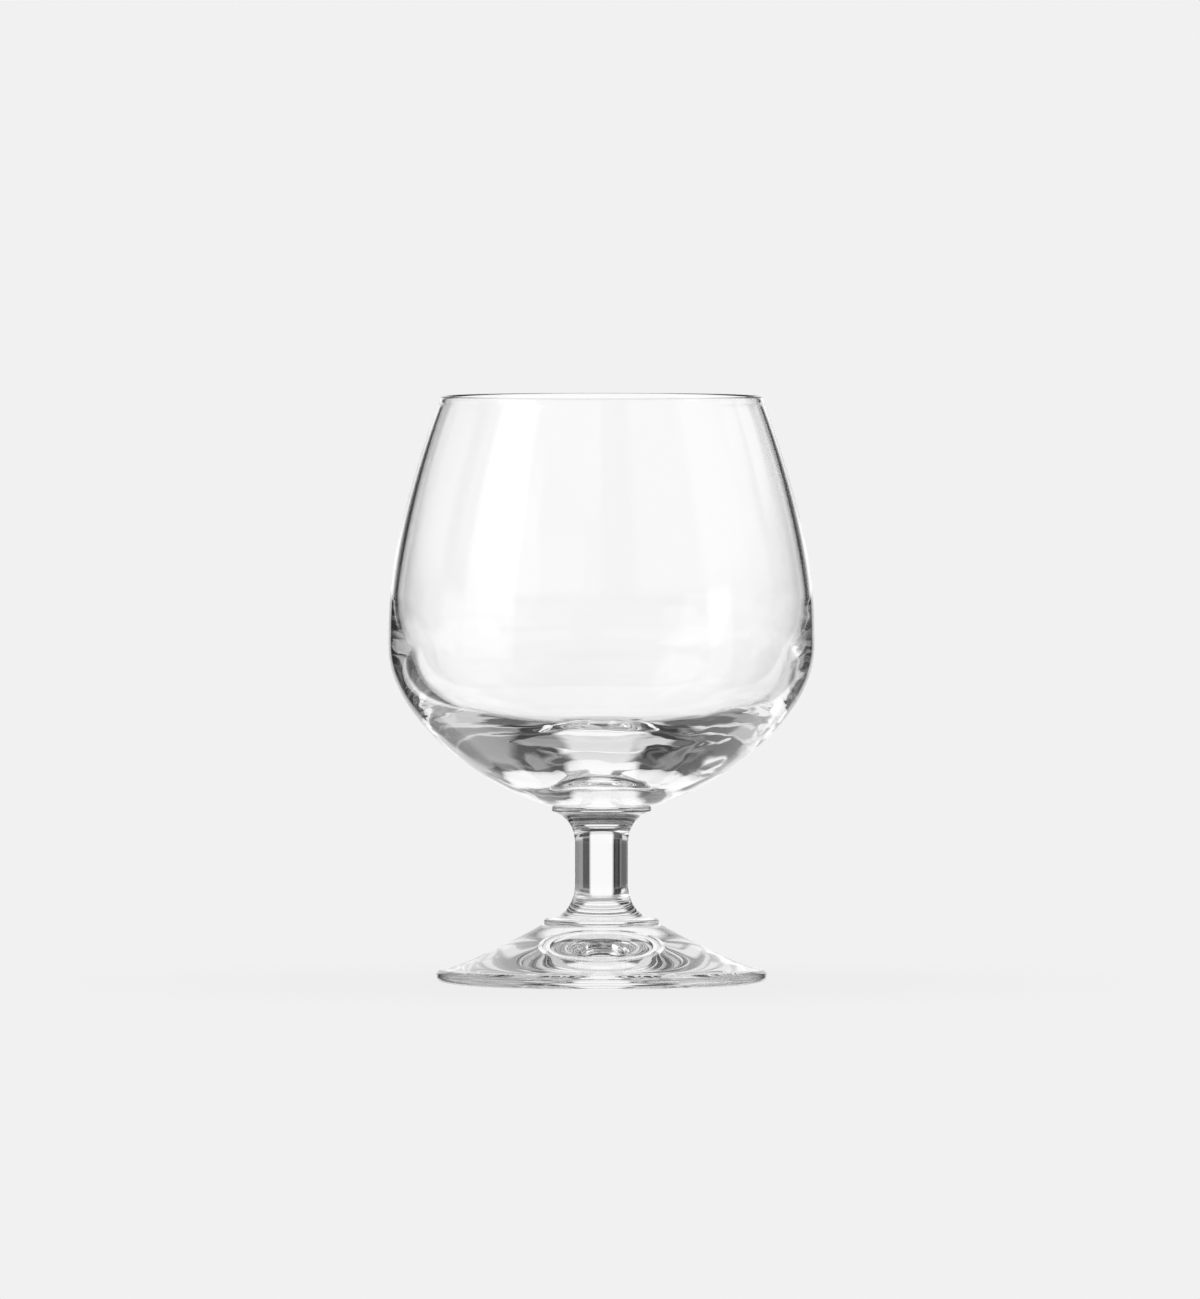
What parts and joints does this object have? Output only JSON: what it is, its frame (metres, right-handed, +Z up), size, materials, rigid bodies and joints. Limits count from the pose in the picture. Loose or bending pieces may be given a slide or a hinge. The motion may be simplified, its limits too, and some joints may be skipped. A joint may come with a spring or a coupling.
{
  "type": "brandy snifter",
  "caption": "Short-stemmed brandy glass: wide tapering bowl with a thick conical floor, thin collars at both ends of a waisted stem, and a hollow conical foot.",
  "frame": {"origin": "middle of the flat ring under the foot, on the surface that the glass stands on", "axes": "+Z up along the axis of the glass, from the foot to the mouth; X and Y lie in the surface, and the glass is round about Z"},
  "size_m": [0.0903, 0.0902, 0.1244],
  "materials": {
    "clear_glass": "fire-polished, colourless"
  },
  "bodies": {
    "root": {"bowl": "clear_glass", "bowl_collar": "clear_glass", "stem": "clear_glass", "foot_collar": "clear_glass", "foot": "clear_glass"}
  },
  "joints": []
}
